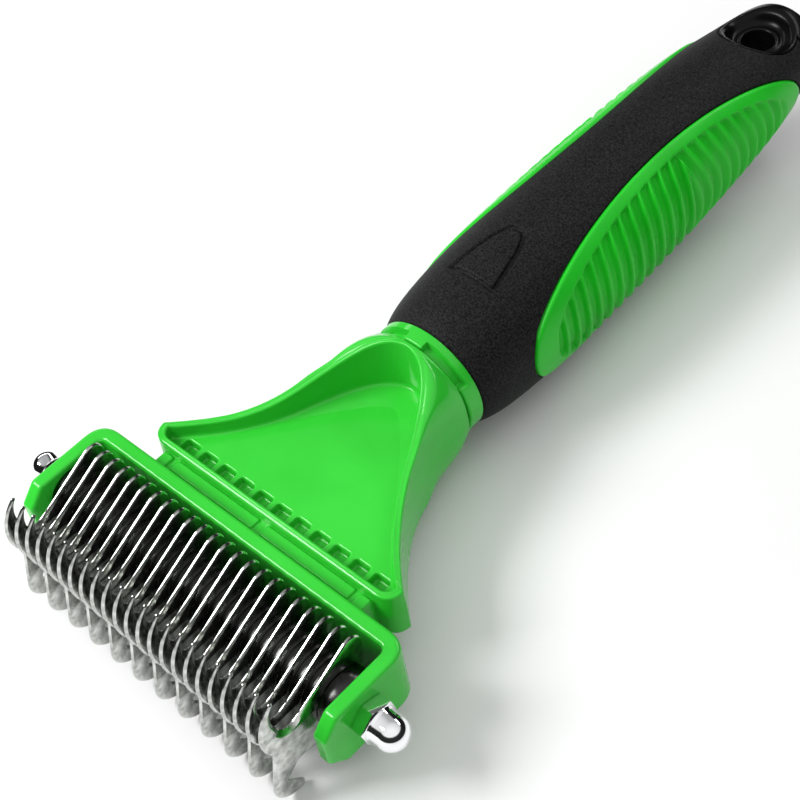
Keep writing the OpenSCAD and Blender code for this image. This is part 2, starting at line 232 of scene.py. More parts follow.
def spread(material, source, low, high):
    """Maps a noise to the range from low to high."""
    node = add_node(material, "ShaderNodeMapRange")
    node.inputs["To Min"].default_value = low
    node.inputs["To Max"].default_value = high
    link(material, source, "Fac", node, "Value")
    return node


def bump(material, source, distance, strength, below=None):
    """Relief from a noise; distance is in metres, and below is a relief that it lies on."""
    node = add_node(material, "ShaderNodeBump")
    node.inputs["Distance"].default_value = distance
    node.inputs["Strength"].default_value = strength
    link(material, source, "Fac", node, "Height")
    if below:
        link(material, below, "Normal", node, "Normal")
    return node


def dress(material, tint, rough, skin):
    """Gives the material's shader its colour, roughness and relief."""
    shader = shader_of(material)
    link(material, tint, "Color", shader, "Base Color")
    link(material, rough, "Result", shader, "Roughness")
    link(material, skin, "Normal", shader, "Normal")
    return material


def green_plastic():
    m = new_material("green_plastic", (0.02, 0.54, 0.02), 0.2,
                     Specular_IOR_Level=0.32, Coat_Weight=0.06, Coat_Roughness=0.06,
                     Subsurface_Weight=0.12, Subsurface_Radius=GREEN_SCATTER, Subsurface_Scale=0.0012)
    where = position(m)
    clouds = noise(m, where, 55, 3)
    fine = noise(m, where, 900, 2)
    tint = ramp(m, clouds, (0.3, (0.026, 0.48, 0.028)), (0.7, (0.036, 0.55, 0.04)))
    rough = spread(m, clouds, 0.1, 0.24)
    waves = bump(m, clouds, 0.00012, 0.35)
    return dress(m, tint, rough, bump(m, fine, 0.00001, 0.5, waves))


def green_grip():
    m = new_material("green_grip", (0.01, 0.5, 0.02), 0.36, Specular_IOR_Level=0.3,
                     Subsurface_Weight=0.15, Subsurface_Radius=GREEN_SCATTER, Subsurface_Scale=0.001)
    where = position(m)
    clouds = noise(m, where, 70, 3)
    grain = noise(m, where, 2600, 2)
    tint = ramp(m, clouds, (0.3, (0.01, 0.47, 0.014)), (0.7, (0.016, 0.57, 0.022)))
    rough = spread(m, clouds, 0.28, 0.42)
    return dress(m, tint, rough, bump(m, grain, 0.00003, 0.35))


def black_grip():
    m = new_material("black_grip", (0.012, 0.012, 0.0125), 0.55, Specular_IOR_Level=0.11)
    where = position(m)
    grain = noise(m, where, 3000, 3)
    clouds = noise(m, where, 60, 3)
    tint = ramp(m, grain, (0.36, (0.0012, 0.0012, 0.0013)), (0.64, (0.0195, 0.0195, 0.02)))
    rough = spread(m, clouds, 0.48, 0.66)
    return dress(m, tint, rough, bump(m, grain, 0.00012, 0.7))


def black_plastic():
    m = new_material("black_plastic", (0.002, 0.002, 0.0022), 0.2, Specular_IOR_Level=0.12)
    clouds = noise(m, position(m), 90, 4)
    tint = ramp(m, clouds, (0.3, (0.001, 0.001, 0.0011)), (0.7, (0.0025, 0.0025, 0.0027)))
    rough = spread(m, clouds, 0.16, 0.34)
    return dress(m, tint, rough, bump(m, clouds, 0.00004, 0.4))


def steel(name, light, dark, rough_range, line_scale, scratch=0.00001, mottle=130):
    """Polished or turned steel with fine scratches along one direction."""
    m = new_material(name, light, rough_range[0], 1.0)
    lines = noise(m, position(m, line_scale), 1.0, 4)
    clouds = noise(m, position(m), mottle, 4)
    tint = ramp(m, clouds, (0.3, dark), (0.7, light))
    rough = spread(m, lines, *rough_range)
    return dress(m, tint, rough, bump(m, lines, scratch, 0.5))


MATERIALS = {
    "green_plastic": green_plastic(),
    "green_grip": green_grip(),
    "black_grip": black_grip(),
    "black_plastic": black_plastic(),
    "blade_steel": steel(
        "blade_steel", (0.76, 0.77, 0.75), (0.3, 0.31, 0.29), (0.08, 0.24), (900, 5000, 900), mottle=700),
    # the spacers' steel gets a near-black colour: painted shade, standing for the dim narrow gaps between the
    # blades
    "spacer_steel": steel(
        "spacer_steel", (0.07, 0.071, 0.069), (0.018, 0.019, 0.018), (0.14, 0.32), (6000, 300, 300)),
    "axle_steel": steel(
        "axle_steel", (0.62, 0.63, 0.64), (0.5, 0.51, 0.52), (0.15, 0.32), (4000, 400, 400)),
    "chrome": steel(
        "chrome", (0.93, 0.94, 0.95), (0.88, 0.89, 0.9), (0.02, 0.06), (700, 700, 700), scratch=0.0000004),
}
SLOT_OF = {e["node"]: e["material_slot"] for e in frame["record"]["subparts"]}
BODY_OF = {n: b for b, nodes in frame["record"]["behaviour"]["bodies"].items() for n in nodes}


# ---------- mesh helpers ----------
def place_piece(name, mesh, node, where=(0, 0, 0)):
    """Puts a mesh in the scene, in place of a CAD node and in that node's body."""
    obj = bpy.data.objects.new(name, mesh)
    bpy.context.scene.collection.objects.link(obj)
    obj.location = where
    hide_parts(node)
    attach(obj, BODY_OF[node])


def shade_smooth(mesh, sharp_angle):
    """Smooth shading, apart from edges that turn by more than sharp_angle degrees."""
    mesh.polygons.foreach_set("use_smooth", np.ones(len(mesh.polygons), bool))
    if sharp_angle is not None:
        mesh.set_sharp_from_angle(angle=math.radians(sharp_angle))
    mesh.update()


def add_piece(name, points, faces, node, sharp_angle=None, normals=None):
    """A piece made of points in the axle's frame, which stands for a CAD node."""
    mesh = bpy.data.meshes.new(name)
    faces = faces if isinstance(faces, list) else faces.tolist()
    mesh.from_pydata(to_frame(points).tolist(), [], faces)
    shade_smooth(mesh, sharp_angle)
    if normals is not None:
        mesh.normals_split_custom_set_from_vertices(normals.tolist())
    mesh.materials.append(MATERIALS[SLOT_OF[node]])
    place_piece(name, mesh, node)


def unit(vectors):
    return vectors / np.maximum(np.linalg.norm(vectors, axis=1), 1e-9)[:, None]


def gradient(field, points, h=0.02):
    out = np.empty_like(points)
    for axis in range(3):
        d = np.zeros(3)
        d[axis] = h
        out[:, axis] = (field(points + d) - field(points - d)) / (2 * h)
    return out


def along(axis, start, stop, rest=slice(None)):
    """Index of a grid that takes start to stop along one axis and rest along the other two."""
    index = [rest] * 3
    index[axis] = slice(start, stop)
    return tuple(index)


def crossing_sums(value, grid, step):
    """For each cell, the sum of the points where the surface crosses its edges, and their number."""
    shape = tuple(n - 1 for n in value.shape)
    total, weight = np.zeros(shape + (3,)), np.zeros(shape)
    for axis in range(3):
        starts, ends = value[along(axis, 0, -1)], value[along(axis, 1, None)]
        cross = (starts < 0) != (ends < 0)
        t = np.where(cross, starts / np.where(cross, starts - ends, 1), 0)
        point = grid[along(axis, 0, -1)].copy()
        point[..., axis] += t * step
        point = np.where(cross[..., None], point, 0)
        first, second = (k for k in range(3) if k != axis)
        for i, j in ((0, 0), (0, 1), (1, 0), (1, 1)):
            window = [slice(None)] * 3
            window[first] = slice(i, shape[first] + i)
            window[second] = slice(j, shape[second] + j)
            total += point[tuple(window)]
            weight += cross[tuple(window)]
    return total, weight


def net_faces(inside, index):
    """A quad round each grid edge that the surface crosses, facing outwards."""
    faces = []
    for axis in range(3):
        u, v = (axis + 1) % 3, (axis + 2) % 3
        starts = inside[along(axis, 0, -1, slice(1, -1))]
        ends = inside[along(axis, 1, None, slice(1, -1))]
        base = np.argwhere(starts != ends)
        flip = ends[tuple(base.T)]
        base[:, [u, v]] += 1
        quad = []
        for du, dv in ((-1, -1), (0, -1), (0, 0), (-1, 0)):
            corner = base.copy()
            corner[:, u] += du
            corner[:, v] += dv
            quad.append(index[tuple(corner.T)])
        quad = np.stack(quad, -1)
        quad[flip] = quad[flip][:, ::-1]
        faces.append(quad)
    return np.concatenate(faces)


def surface_net(field, low, high, step):
    """Points, faces and normals of the surface where field is zero, by naive surface nets.

    field maps an array of points to signed distances in millimetres, negative inside.
    """
    low, high = np.array(low, float), np.array(high, float)
    count = np.ceil((high - low) / step).astype(int) + 1
    axes = [low[i] + step * np.arange(count[i]) for i in range(3)]
    grid = np.stack(np.meshgrid(*axes, indexing="ij"), -1)
    value = np.stack([field(layer) for layer in grid])
    total, weight = crossing_sums(value, grid, step)
    used = weight > 0
    index = np.full(used.shape, -1)
    index[used] = np.arange(used.sum())
    points = total[used] / weight[used][:, None]
    pull = 0.8                                # part of the way to the surface that a round moves a point
    for _ in range(3):
        slope = gradient(field, points)
        size = np.linalg.norm(slope, axis=1)
        shift = np.clip(field(points) / np.maximum(size, 0.3), -step, step)
        points = points - unit(slope) * shift[:, None] * pull
    return points, net_faces(value < 0, index), unit(gradient(field, points))


def grid_faces(rows, columns, wrap=False):
    """Quads of a grid of points stored row by row; wrap joins the last column to the first."""
    last = columns if wrap else columns - 1
    r, c = np.meshgrid(np.arange(rows - 1), np.arange(last), indexing="ij")
    n = (c + 1) % columns
    here, above = r * columns, (r + 1) * columns
    return np.stack([here + c, here + n, above + n, above + c], -1).reshape(-1, 4)


def smooth_max(a, b, k):
    """Larger of a and b, with the corner rounded over about k."""
    h = np.clip(0.5 + 0.5 * (a - b) / k, 0, 1)
    return b + (a - b) * h + k * h * (1 - h)


def smooth_min(a, b, k):
    return -smooth_max(-a, -b, k)


def rounded_box(p, low, high, r):
    """Signed distance to a box with rounded edges."""
    centre = (np.array(low) + np.array(high)) / 2
    half = (np.array(high) - np.array(low)) / 2 - r
    q = np.abs(p - centre) - half
    outside = np.linalg.norm(np.maximum(q, 0), axis=-1)
    return outside + np.minimum(q.max(-1), 0) - r


def step_up(t, start, end):
    """Smooth step from 0 at start to 1 at end."""
    u = np.clip((t - start) / (end - start), 0, 1)
    return u * u * (3 - 2 * u)


def edge_round(distance, depth, width):
    """Material taken off near an edge: depth at the edge, and none from width on."""
    return depth * np.clip(1 - distance / width, 0, 1) ** 2


def arc(cy, cz, r, a0, a1, steps):
    a = np.radians(np.linspace(a0, a1, steps + 1))
    return np.stack([cy + r * np.cos(a), cz + r * np.sin(a)], -1)


def bezier(points, steps=24):
    t = np.linspace(0, 1, steps + 1)[:, None]
    a, b, c, d = (np.array(p, float) for p in points)
    return a * (1 - t) ** 3 + 3 * b * t * (1 - t) ** 2 + 3 * c * t * t * (1 - t) + d * t ** 3


# ---------- head ----------
head_low, head_high = node_mm("head_body")
HEAD_Y = head_low[1]                      # the flat side towards the blades
HEAD_HALF = head_high[0]
HEAD_HALF_T = 5.3                         # half of its thickness at the blades
HEAD_CORNER = 3.6
NECK_Y = HEAD_Y + 42.1                    # where the collar ends and the sleeve starts
NECK_R = 11.0
COLLAR_LEN = 3.3
SHOULDER_R = 12.0
FLARE_START, FLARE_END = HEAD_Y + 3.4, NECK_Y - 5.5
RISE_START, RISE_END = 25.0, NECK_Y - 4
UPPER_RISE, LOWER_RISE = 9.9, 5.0         # how much thicker the head gets towards the neck
FLARE_POWER, RISE_POWER = 2.3, 1.6        # a higher power keeps the curve flat for longer
HEAD_DRAFT, POCKET_DRAFT = 0.03, 0.04     # lean of the outer and inner walls, in mm per mm
ENVELOPE = np.concatenate([               # (y, radius) of the turned shape that rounds the head into the neck
    bezier([(20, 60), (27, 26), (36, 16), (44, 14.2)]),
    bezier([(44, 14.2), (47, 13.9), (50.2, 13.6), (52.2, 12.2)], 10)[1:],
])
POCKET_BASE = HEAD_Y + 1.4
POCKET_CORNER = 2.0
POCKET_FLOOR = 2.35                       # height of the pocket's floor above the middle plane
ARCH_BASE, ARCH_APEX = 34.0, 51.4
CREASE_Y, CREASE_SLOPE = 45.8, 1.26       # a bent crease across the pocket's floor near the neck
FLOOR_SLOPE = 0.14                        # of the floor past the crease


def head_half_width(y):
    t = np.clip((FLARE_END - y) / (FLARE_END - FLARE_START), 0, 1)
    return SHOULDER_R + (HEAD_HALF - SHOULDER_R) * t ** FLARE_POWER


def side_slope(y):
    return (head_half_width(y + 0.05) - head_half_width(y - 0.05)) / 0.1


def head_rise(y):
    return np.clip((y - RISE_START) / (RISE_END - RISE_START), 0, None) ** RISE_POWER


def head_wall(y):
    """Thickness of the wall round the pocket, which grows from 1.4 to 2 mm towards the neck."""
    return 1.4 + 0.6 * np.clip((y - 16) / 28, 0, 1)


def plan_distance(x, y, inset):
    """Distance outside the head's outline seen from above, moved inwards by inset."""
    side = (np.abs(x) - head_half_width(y) + inset) / np.sqrt(1 + side_slope(y) ** 2)
    return smooth_max(side, HEAD_Y + inset - y, HEAD_CORNER)


def pocket_outline():
    """Right half of the pocket's outline: it follows the sides of the head and ends in an arch."""
    corner_y = POCKET_BASE + POCKET_CORNER
    y = np.linspace(corner_y, ARCH_BASE, 40)
    x = head_half_width(y) - head_wall(y) * np.sqrt(1 + side_slope(y) ** 2)
    start = np.array([x[-1], y[-1]])
    lean = (x[-1] - x[-2]) / (y[-1] - y[-2])
    reach = 6.5                               # length of the bow's first handle, which keeps it tangent
    bow = bezier([start, start + [lean * reach, reach], (7.0, ARCH_APEX - 0.5), (0, ARCH_APEX)], 40)
    turn = arc(x[0] - POCKET_CORNER, corner_y, POCKET_CORNER, -90, -8, 8)
    return np.concatenate([turn, np.stack([x, y], -1)[1:], bow[1:]])


class PlanDistance:
    """Signed distance to a closed outline that is symmetric about X = 0, read from a fine grid."""

    def __init__(self, right_half, low, high, step=0.15):
        outline = np.concatenate([right_half, right_half[::-1] * [-1, 1]])
        self.low, self.step = np.array(low, float), step
        x = np.arange(low[0], high[0] + step, step)
        y = np.arange(low[1], high[1] + step, step)
        xx, yy = np.meshgrid(x, y, indexing="ij")
        nearest = np.full(xx.shape, 1e9)
        crossings = np.zeros(xx.shape, int)
        for (ax, ay), (bx, by) in zip(outline, np.roll(outline, -1, 0)):
            dx, dy = bx - ax, by - ay
            if dx == dy == 0:
                continue
            t = np.clip(((xx - ax) * dx + (yy - ay) * dy) / (dx * dx + dy * dy), 0, 1)
            nearest = np.minimum(nearest, np.hypot(xx - ax - t * dx, yy - ay - t * dy))
            if dy != 0:
                beside = (yy >= min(ay, by)) & (yy < max(ay, by))
                crossings += beside & (xx < ax + (yy - ay) * dx / dy)
        self.value = np.where(crossings % 2 == 1, -nearest, nearest)

    def __call__(self, x, y):
        u = np.clip((x - self.low[0]) / self.step, 0, self.value.shape[0] - 1.001)
        v = np.clip((y - self.low[1]) / self.step, 0, self.value.shape[1] - 1.001)
        i, j = u.astype(int), v.astype(int)
        fu, fv = u - i, v - j
        a = self.value[i, j] * (1 - fv) + self.value[i, j + 1] * fv
        b = self.value[i + 1, j] * (1 - fv) + self.value[i + 1, j + 1] * fv
        return a * (1 - fu) + b * fu


pocket_distance = PlanDistance(pocket_outline(), (-31, 12), (31, 60))


def rounded_into_neck(body, p):
    """Rounds the head off into the neck, and adds the spigot that goes through the collar."""
    h = to_handle(p)
    around, y = np.hypot(h[..., 0], h[..., 2]), h[..., 1]
    radius = np.interp(y, ENVELOPE[:, 0], ENVELOPE[:, 1])
    body = smooth_max(body, around - radius, 1.6)
    body = smooth_max(body, y - (NECK_Y - COLLAR_LEN - 0.35), 0.7)
    spigot = np.maximum(around - NECK_R + 1, np.abs(y - NECK_Y + 4) - 3.9)
    return smooth_min(body, spigot, 0.3)


def pocket_field(x, y, level, rim, top):
    """Large pocket with drafted walls; level is the height on its own side and top is the rim's height."""
    walls = rim + POCKET_DRAFT * (top - level)
    crease = np.clip(y - CREASE_Y + CREASE_SLOPE * (np.hypot(x, 3) - 3), 0, 8) * step_up(y, 20, 28)
    return smooth_max(walls, POCKET_FLOOR + FLOOR_SLOPE * crease - level, 0.7)


def cell_field(x, y, level):
    """Row of small square pockets along the base of the large pocket."""
    pitch, half_w, half_l, corner = 4.57, 1.68, 1.4, 0.6
    k = np.clip(np.round(x / pitch), -5, 5)
    dx = np.abs(x - k * pitch) - half_w + corner
    dy = np.abs(y - (POCKET_BASE + 0.5 + half_l)) - half_l + corner
    square = np.hypot(np.maximum(dx, 0), np.maximum(dy, 0)) + np.minimum(np.maximum(dx, dy), 0) - corner
    return smooth_max(square, 0.6 - level, 0.5)


def head_field(p):
    """The flared head: it swells towards the neck and has the same pockets above and below."""
    x, y, z = p[..., 0], p[..., 1], p[..., 2]
    rim = pocket_distance(x, y)
    channel = 0.16 * np.exp(-((rim - 0.8) / 0.3) ** 2)        # shallow, along the middle of the rim
    body = plan_distance(x, y, HEAD_DRAFT * np.abs(z))
    sides = [(z, HEAD_HALF_T + UPPER_RISE * head_rise(y)), (-z, HEAD_HALF_T + LOWER_RISE * head_rise(y))]
    for level, top in sides:
        body = smooth_max(body, level - (top - channel), 0.6)
    body = rounded_into_neck(body, p)
    for level, top in sides:
        body = smooth_max(body, -pocket_field(x, y, level, rim, top), 0.45)
        body = smooth_max(body, -cell_field(x, y, level), 0.3)
    return body


def make_head():
    margin = 0.8
    low = head_low - margin
    high = [HEAD_HALF + margin, NECK_Y + 0.5, head_high[2] + 1.5]
    points, faces, normals = surface_net(head_field, low, high, 0.32)
    add_piece("head_shell", points, faces, "head_body", normals=normals)


# ---------- neck collar ----------
def make_collar():
    """Ring with four long slots, which are open towards the head."""
    front, outer = NECK_Y - COLLAR_LEN, 11.7
    y = np.linspace(front - 0.02, NECK_Y, 44)
    angle = np.radians(np.arange(0, 360, 0.75))
    yy, aa = np.meshgrid(y, angle, indexing="ij")
    from_top = np.degrees(np.abs(np.angle(np.exp(1j * (aa - np.pi / 2)))))
    near = np.minimum(from_top, 180 - from_top)
    slot = step_up(near, 10, 11) * (1 - step_up(near, 58, 62)) * (1 - step_up(yy, front + 1.5, front + 1.75))
    edges = edge_round(yy - y[0], 0.35, 0.35) + edge_round(NECK_Y - yy, 0.25, 0.3)
    r = outer - edges - 1.5 * slot
    outside = np.stack([r * np.cos(aa), yy, r * np.sin(aa)], -1)
    bore = [
        np.stack([radius * np.cos(angle), np.full_like(angle, end), radius * np.sin(angle)], -1)
        for radius, end in ((NECK_R + 0.03, y[0]), (NECK_R - 1, y[-1]))]
    points = np.concatenate([bore[:1], outside, bore[1:]])
    faces = grid_faces(*points.shape[:2], True)[:, ::-1]
    add_piece("neck_ring", from_handle(points.reshape(-1, 3)), faces, "neck_collar", 50)


# ---------- handle ----------
HANDLE_R = 14.7
HANDLE_END = 164.2
SLEEVE_END = 158.0
LOOP_R = 7.6                              # round the hang hole, where the hard core shows
DISH_R = 6.0
HANG_R = 3.1
HANG_Y = HANDLE_END - 10.2
HANDLE_CURVE = np.concatenate([           # (radius, y) of the handle seen from above
    bezier([(11.6, NECK_Y), (14, NECK_Y + 3), (HANDLE_R, NECK_Y + 17), (HANDLE_R, 86)]),
    bezier([(HANDLE_R, 86), (HANDLE_R, 106), (14, 122), (13.1, 138)])[1:],
    bezier([(13.1, 138), (12.4, 147), (10.9, 154), (9.8, HANDLE_END - 4.8)])[1:],
    bezier([(9.8, HANDLE_END - 4.8), (9.1, HANDLE_END - 1.6), (8, HANDLE_END), (4.6, HANDLE_END)])[1:],
])
FLAT_CURVE = np.concatenate([             # (y, half thickness) where the handle grows flatter
    bezier([(106, 15), (124, 14.2), (138, 11.8), (152, 9.1)]),
    bezier([(152, 9.1), (157, 8.5), (161, 7.9), (HANDLE_END, 7.3)])[1:],
])
ARCH_Y, ARCH_LENGTH, ARCH_HALF = 69.2, 12.9, 4.9
ARCH_DEPTH = 0.65
RECESS = 1.2                              # depth of the sleeve's recess for a side grip
GRIP_ARC = 168.0                          # radius of the grip's upper and lower edges, seen from above
GRIP_EDGE, GRIP_MID, GRIP_START, GRIP_END = 7.1, 114.5, 68.0, 156.0
NOSE = 14.0                               # the grip starts as a parabola, z * z / NOSE, seen from the side
RIB_PITCH, RIB_HEIGHT, FORK_Y = 3.1, 1.2, 115.7
LOWER_SLANT, UPPER_SLANT = 0.5, 0.3       # of the ribs below and above the fork


def handle_radius(y):
    return np.interp(y, HANDLE_CURVE[:, 1], HANDLE_CURVE[:, 0])


def handle_height(y):
    """Half thickness of the handle, which grows flatter towards the hang hole."""
    flat = np.interp(y, FLAT_CURVE[:, 0], FLAT_CURVE[:, 1], left=20)
    return smooth_min(handle_radius(y), flat, 1.0)


def handle_points(y, angle, offset):
    """Points on the handle's oval sections, moved outwards by offset."""
    x = (handle_radius(y) + offset) * np.cos(angle)
    return np.stack([x, y, (handle_height(y) + offset) * np.sin(angle)], -1)


def lens_depth(p):
    """How far inside the side grip's outline a point of the handle lies."""
    arc_depth = GRIP_ARC - np.hypot(np.abs(p[..., 0]) - GRIP_EDGE - GRIP_ARC, p[..., 1] - GRIP_MID)
    return np.minimum(arc_depth, p[..., 1] - GRIP_START - p[..., 2] ** 2 / NOSE)


def rib_depth(p):
    """Depth of the slanted recesses between the ribs, which change their slant at FORK_Y."""
    run, y = np.abs(p[..., 0]) - GRIP_EDGE, p[..., 1]
    lower, upper = y + LOWER_SLANT * run, y - UPPER_SLANT * run
    t = (np.maximum(FORK_Y - lower, upper - FORK_Y) / RIB_PITCH - 0.5) % 1
    recess = step_up(t, 0.06, 0.24) * (1 - step_up(t, 0.56, 0.98))
    ends = step_up(lower, 75, 79) * (1 - step_up(upper, 139, 146))
    return RIB_HEIGHT * recess * ends


def arch_line(x, y):
    """Distance from the engraved arch, seen from above: a straight base and a round-topped bow."""
    u = np.linspace(-1, 1, 240)
    bow = np.stack([ARCH_HALF * u, ARCH_Y + ARCH_LENGTH * (1 - np.abs(u) ** 2.7)], -1)
    near = np.full(x.shape, 9.0)
    half = ARCH_LENGTH / 2
    close = (np.abs(x) < ARCH_HALF + 2) & (np.abs(y - ARCH_Y - half) < half + 2)
    gap = np.hypot(x[close][:, None] - bow[:, 0], y[close][:, None] - bow[:, 1]).min(1)
    base = np.hypot(np.maximum(np.abs(x[close]) - ARCH_HALF, 0), y[close] - ARCH_Y)
    near[close] = np.minimum(gap, base)
    return near


def make_sleeve():
    stations = (NECK_Y, 64, 86, 143, SLEEVE_END)      # the rows are closer at the arch and at the end
    rows = (40, 130, 130, 110)
    y = np.unique(np.concatenate([np.linspace(*span) for span in zip(stations, stations[1:], rows)]))
    angle = np.radians(np.linspace(0, 360, 720, endpoint=False))
    yy, aa = np.meshgrid(y, angle, indexing="ij")
    outside = handle_points(yy, aa, 0)
    x = outside[..., 0]
    engraving = ARCH_DEPTH * (1 - step_up(arch_line(x, yy), 0.2, 0.6)) * (aa < np.pi)
    recess = RECESS * step_up(lens_depth(outside), -0.15, 0.3)
    edges = edge_round(SLEEVE_END - yy, 0.4, 0.8) + edge_round(yy - NECK_Y, 0.3, 0.6)
    notch = LOOP_R + 0.15 - np.hypot(x, yy - HANG_Y)
    rim = 1.6 * step_up(notch, -0.1, 0.3)
    points = handle_points(yy, aa, -engraving - recess - edges - rim)
    inwards = [0.8, 1, 0.8]
    points = np.concatenate([points[:1] * inwards, points, points[-1:] * inwards])
    faces = grid_faces(*points.shape[:2], True)[:, ::-1]
    open_here = np.concatenate([notch[:1], notch, notch[-1:]]).ravel() > 0.32
    faces = faces[~open_here[faces].all(1)]
    add_piece("grip_sleeve", from_handle(points.reshape(-1, 3)), faces, "handle_sleeve", 60)


def make_grip(side, node):
    """Ribbed inlay that stands a little proud of the sleeve inside a plain border."""
    proud = 0.4
    y = np.linspace(GRIP_START + 0.03, GRIP_END, 760)
    edge_x = GRIP_EDGE + GRIP_ARC - np.sqrt(GRIP_ARC ** 2 - (y - GRIP_MID) ** 2) + 0.04
    keep = edge_x < handle_radius(y) - 0.01
    y, edge_x = y[keep], edge_x[keep]
    reach = np.arccos(np.clip(edge_x / handle_radius(y), -1, 1))
    nose = np.sqrt(NOSE * (y - GRIP_START)) / handle_height(y)
    reach = np.minimum(reach, np.arcsin(np.clip(nose, 0, 1)))
    yy, across = np.meshgrid(y, np.linspace(-1, 1, 200), indexing="ij")
    angle = across * reach[:, None]
    surface = handle_points(yy, angle, 0)
    depth = lens_depth(surface)
    groove = rib_depth(surface) * step_up(depth, 1.9, 2.5)
    border = proud - edge_round(depth, proud, 0.6) - 0.5 * np.clip(1 - depth / 0.25, 0, 1)
    points = handle_points(yy, angle, border - groove) * [side, 1, 1]
    faces = grid_faces(*points.shape[:2])[:, ::side]
    add_piece("ribbed_" + node, from_handle(points.reshape(-1, 3)), faces, node)


def loop_field(p):
    """End of the handle in its tilted frame: a rounded end with a dished, lipped hang hole."""
    x, y, z = p[..., 0], p[..., 1], p[..., 2]
    a, b = handle_radius(y), handle_height(y)
    k0 = np.sqrt((x / a) ** 2 + (z / b) ** 2)
    k1 = np.maximum(np.sqrt((x / a ** 2) ** 2 + (z / b ** 2) ** 2), 1e-6)
    oval = k0 * (k0 - 1) / k1
    around = np.hypot(x, y - HANG_Y)
    beyond_sleeve = np.minimum(around - LOOP_R, SLEEVE_END + 0.05 - y)
    dish = smooth_max(around - DISH_R, 4.9 - np.abs(z), 2.4)
    lip = smooth_max(around - (HANG_R + 1.1), np.abs(z) - 5.7, 1.2)
    solid = smooth_max(oval, y - HANDLE_END, 1.2)
    solid = smooth_max(solid, beyond_sleeve, 0.35)
    solid = smooth_max(solid, -dish, 2.2)
    solid = smooth_min(solid, lip, 0.8)
    return smooth_max(solid, HANG_R - around, 0.8)


def make_loop():
    half_h = 12.4
    low = [-LOOP_R - 3, HANG_Y - LOOP_R - 0.8, -half_h]
    high = [LOOP_R + 3, HANDLE_END + 0.8, half_h]
    points, faces, normals = surface_net(loop_field, low, high, 0.3)
    add_piece("hang_loop", from_handle(points), faces, "handle_core", normals=from_handle(normals))


# ---------- bracket and rail ----------
ARM_IN, ARM_OUT = 34.1, 37.0
ARM_FRONT = -9.0
BRACKET_IN, BRACKET_OUT = 8.0, 10.9       # front and back of the crossbar
BRACKET_HALF_H = 6.5
RAIL_HALF = 25.0


def bracket_field(p):
    x, y, z = np.abs(p[..., 0]), p[..., 1], np.abs(p[..., 2])
    outer = smooth_max(x - ARM_OUT, y - BRACKET_OUT, 4.5)
    inner = smooth_max(x - ARM_IN, y - BRACKET_IN, 1.6)
    chamfer = (z - y - (BRACKET_HALF_H + 5.7)) / math.sqrt(2)
    tip = smooth_max(ARM_FRONT - y, chamfer, 0.25)
    ends = smooth_max(z - BRACKET_HALF_H, tip, 0.4)
    return smooth_max(smooth_max(outer, -inner, 0.2), ends, 0.85)


def make_bracket():
    points, faces, normals = surface_net(bracket_field, [-38, -10, -7.5], [38, 12, 7.5], 0.26)
    add_piece("blade_bracket", points, faces, "bracket", normals=normals)


def rail_field(p):
    q = np.abs(p)
    bar = rounded_box(q, (-RAIL_HALF, BRACKET_OUT - 0.6, -3), (RAIL_HALF, HEAD_Y + 0.6, 3), 0.3)
    pad = rounded_box(q, (1.0, BRACKET_OUT + 1.0, 0), (21.5, HEAD_Y - 0.15, 3.45), 0.3)
    block = rounded_box(q, (22.6, BRACKET_OUT + 0.2, 0), (RAIL_HALF, HEAD_Y - 0.2, 3.6), 0.4)
    return smooth_min(smooth_min(bar, pad, 0.3), block, 0.3)


def make_rail():
    low = [-RAIL_HALF - 1, BRACKET_OUT - 1.4, -5.4]
    high = [RAIL_HALF + 1, HEAD_Y + 1.4, 5.4]
    points, faces, normals = surface_net(rail_field, low, high, 0.25)
    add_piece("rail_bar", points, faces, "connecting_rail", normals=normals)


# ---------- blades ----------
BLADE_T = 0.68
PITCH = 2.8
MIDDLE_BLADE = 11                         # the 23 blades are counted from 0 along X
BORE_R = 2.05
LOWER_SLOPE = 22.3                        # of the lower edge, in degrees


def blade_outline(lower_tooth):
    """Outline (y, z) and, for each point, how deep the ground bevel is there."""
    parts = [
        (arc(3.9, -8.3, 2.3, -90 - LOWER_SLOPE, 0, 10), 0),           # lower rear corner
        (arc(3.9, 8.3, 2.3, 0, 118, 14), 0),                          # upper rear corner
        (arc(-10.1, 5.95, 2.1, -62, -176, 22), 1),                    # throat behind the upper tooth
        (arc(-6.9, 9, 6.1, 208, 148, 18), 0.35),                      # rear side of the tooth
        (arc(-12.19, 12.68, 0.42, -40, 127, 14), 0.2),                # its tip
        (arc(-7, 5.8, 9, 129, 213, 36), 0.15),                        # its front
    ]
    if lower_tooth:
        parts += [
            (arc(-12.1, -8.4, 4.5, 165, 250, 22), 0),                 # front of the lower tooth
            (arc(-11.9, -12, 1.05, 250, 405, 18), 0),                 # its tip
            (arc(-12.6, -8.3, 0.8, -135, -260, 14), 0.3),             # notch behind the tip
            (arc(-9.6, -8.9, 3.4, 150, 90 - LOWER_SLOPE, 14), 0),     # into the lower edge
        ]
    else:
        parts += [(arc(-9.9, -0.25, 4.5, 172, 270 - LOWER_SLOPE, 16), 0)]
    points = np.concatenate([p for p, _ in parts])
    ground = np.concatenate([np.full(len(p), g, float) for p, g in parts])
    return dense_outline(points, ground)


def dense_outline(points, ground, longest=0.6):
    """Adds points on the straight stretches so that the bevel can run out along them."""
    out, depth = [], []
    for a, b, ga, gb in zip(points, np.roll(points, -1, 0), ground, np.roll(ground, -1)):
        n = max(1, int(np.linalg.norm(b - a) / longest))
        for k in range(n):
            runout = (k / n) ** 5 if gb > ga else 1 - (1 - k / n) ** 5
            out.append(a + (b - a) * k / n)
            depth.append(ga + (gb - ga) * runout)
    out, depth = np.array(out), np.array(depth)
    for _ in range(3):
        depth = (np.roll(depth, 1) + depth * 2 + np.roll(depth, -1)) / 4
    return out, depth


